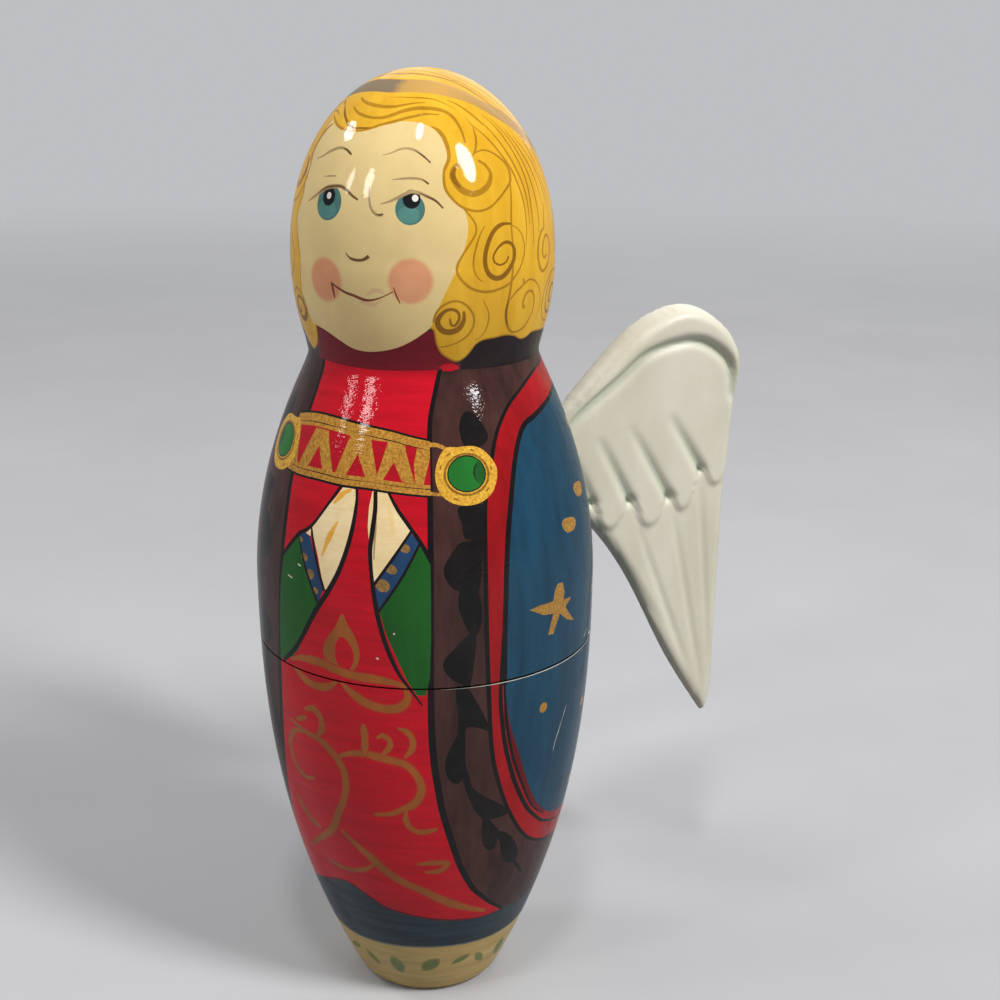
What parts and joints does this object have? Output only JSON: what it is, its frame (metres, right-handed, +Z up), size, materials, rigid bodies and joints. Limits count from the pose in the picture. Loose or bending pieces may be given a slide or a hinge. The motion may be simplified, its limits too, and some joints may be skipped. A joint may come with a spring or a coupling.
{
  "type": "nesting doll",
  "caption": "Turned and painted wooden angel nesting doll with carved wings; its halves lift apart to show smaller dolls stacked inside one another.",
  "frame": {"origin": "centre of the outermost doll's flat foot", "axes": "+Z up along the turning axis, the doll faces -Y, +X is the doll's left"},
  "size_m": [0.0974, 0.0918, 0.18],
  "materials": {
    "outer_paint": "turned limewood, painted red, blue, brown and gold under clear gloss lacquer",
    "second_paint": "turned limewood, painted under clear gloss lacquer",
    "third_paint": "turned limewood, painted under clear gloss lacquer",
    "fourth_paint": "turned limewood, painted under clear gloss lacquer",
    "innermost_paint": "turned limewood, painted under clear gloss lacquer",
    "wing_paint": "carved limewood, painted off-white, satin",
    "dowel_wood": "bare wood"
  },
  "bodies": {
    "outer_lower": {"outer_lower_half": "outer_paint"},
    "second_lower": {"second_lower_half": "second_paint"},
    "third_lower": {"third_lower_half": "third_paint"},
    "fourth_lower": {"fourth_lower_half": "fourth_paint"},
    "innermost": {"innermost_doll": "innermost_paint"},
    "fourth_upper": {"fourth_upper_half": "fourth_paint"},
    "third_upper": {"third_upper_half": "third_paint"},
    "second_upper": {"second_upper_half": "second_paint"},
    "outer_upper": {"outer_upper_half": "outer_paint", "left_wing": "wing_paint", "right_wing": "wing_paint", "left_wing_upper_dowel": "dowel_wood", "left_wing_lower_dowel": "dowel_wood", "right_wing_upper_dowel": "dowel_wood", "right_wing_lower_dowel": "dowel_wood"}
  },
  "joints": [
    {"name": "second_lower_lift", "type": "slide", "parent": "outer_lower", "child": "second_lower", "axis": [0, 0, 1], "range_m": [0, 0.084]},
    {"name": "third_lower_lift", "type": "slide", "parent": "second_lower", "child": "third_lower", "axis": [0, 0, 1], "range_m": [0, 0.063]},
    {"name": "fourth_lower_lift", "type": "slide", "parent": "third_lower", "child": "fourth_lower", "axis": [0, 0, 1], "range_m": [0, 0.047]},
    {"name": "innermost_lift", "type": "slide", "parent": "fourth_lower", "child": "innermost", "axis": [0, 0, 1], "range_m": [0, 0.034]},
    {"name": "fourth_upper_lift", "type": "slide", "parent": "innermost", "child": "fourth_upper", "axis": [0, 0, 1], "range_m": [0, 0.02]},
    {"name": "third_upper_lift", "type": "slide", "parent": "fourth_upper", "child": "third_upper", "axis": [0, 0, 1], "range_m": [0, 0.034]},
    {"name": "second_upper_lift", "type": "slide", "parent": "third_upper", "child": "second_upper", "axis": [0, 0, 1], "range_m": [0, 0.05]},
    {"name": "outer_upper_lift", "type": "slide", "parent": "second_upper", "child": "outer_upper", "axis": [0, 0, 1], "range_m": [0, 0.068]}
  ]
}
